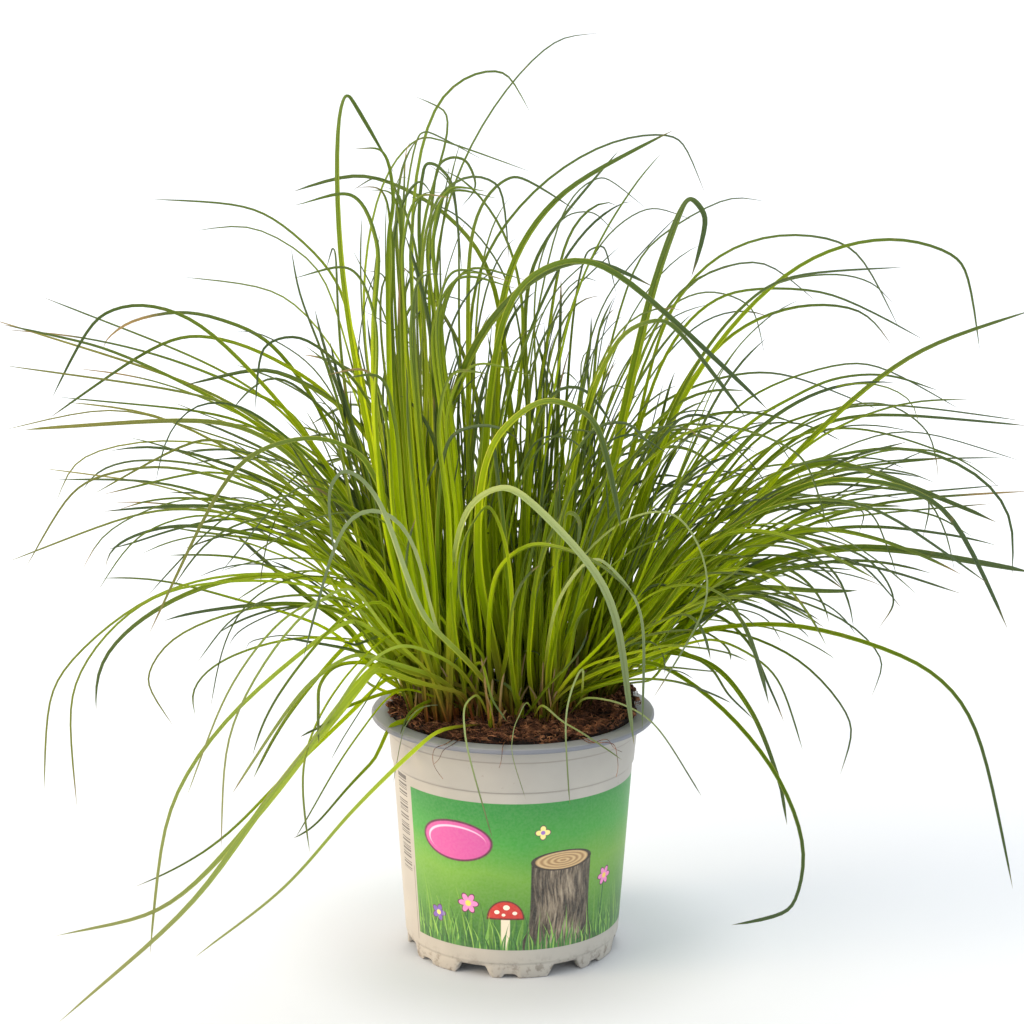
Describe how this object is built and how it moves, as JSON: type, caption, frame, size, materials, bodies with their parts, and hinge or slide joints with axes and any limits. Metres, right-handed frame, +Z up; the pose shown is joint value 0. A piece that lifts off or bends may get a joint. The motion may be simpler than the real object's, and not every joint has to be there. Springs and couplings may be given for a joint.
{
  "type": "potted umbrella sedge",
  "caption": "Umbrella sedge grown as a dense tuft of long folded leaves that arch over a printed plastic nursery pot filled with compost",
  "frame": {"origin": "on the ground, under the middle of the pot's foot", "axes": "+Z up, -Y toward the viewer of the picture, +X to that viewer's right"},
  "size_m": [0.449, 0.393, 0.3841],
  "materials": {
    "pot_plastic": "moulded white plastic with a printed green band",
    "compost": "moist fibrous peat and coir",
    "leaf_bright": "living leaf, yellow-green with a pale midrib",
    "leaf_green": "living leaf, mid green with brown tips",
    "leaf_pale": "living leaf, pale grey-green"
  },
  "bodies": {
    "root": {"pot": "pot_plastic", "soil": "compost", "tuft_left": "leaf_bright", "tuft_middle_left": "leaf_bright", "tuft_middle": "leaf_bright", "tuft_right": "leaf_bright", "tuft_back_left": "leaf_bright", "tuft_back_right": "leaf_bright", "leaf_left_01": "leaf_green", "leaf_left_02": "leaf_green", "leaf_left_03": "leaf_green", "leaf_left_04": "leaf_green", "leaf_left_05": "leaf_green", "leaf_left_06": "leaf_green", "leaf_left_07": "leaf_green", "leaf_left_08": "leaf_green", "leaf_left_09": "leaf_green", "leaf_left_10": "leaf_green", "leaf_left_11": "leaf_green", "leaf_left_12": "leaf_green", "leaf_left_13": "leaf_green", "leaf_left_14": "leaf_green", "leaf_low_01": "leaf_green", "leaf_low_02": "leaf_green", "leaf_low_03": "leaf_green", "leaf_low_04": "leaf_green", "leaf_low_05": "leaf_green", "leaf_low_06": "leaf_green", "leaf_low_07": "leaf_green", "leaf_low_08": "leaf_green", "leaf_front_01": "leaf_pale", "leaf_front_02": "leaf_pale", "leaf_front_03": "leaf_pale", "leaf_front_04": "leaf_pale", "leaf_front_05": "leaf_pale", "leaf_front_06": "leaf_pale", "leaf_front_07": "leaf_pale", "leaf_front_08": "leaf_pale", "leaf_front_09": "leaf_pale", "leaf_front_10": "leaf_pale", "leaf_front_11": "leaf_pale", "leaf_right_01": "leaf_green", "leaf_right_02": "leaf_green", "leaf_right_03": "leaf_green", "leaf_right_04": "leaf_green", "leaf_right_05": "leaf_green", "leaf_right_06": "leaf_green", "leaf_right_07": "leaf_green", "leaf_right_08": "leaf_green", "leaf_right_09": "leaf_green", "leaf_right_10": "leaf_green", "leaf_right_11": "leaf_green", "leaf_right_12": "leaf_green", "leaf_right_13": "leaf_green", "leaf_right_14": "leaf_green", "leaf_right_15": "leaf_green", "leaf_right_16": "leaf_green", "leaf_right_17": "leaf_green", "leaf_right_18": "leaf_green", "leaf_right_19": "leaf_green"}
  },
  "joints": []
}
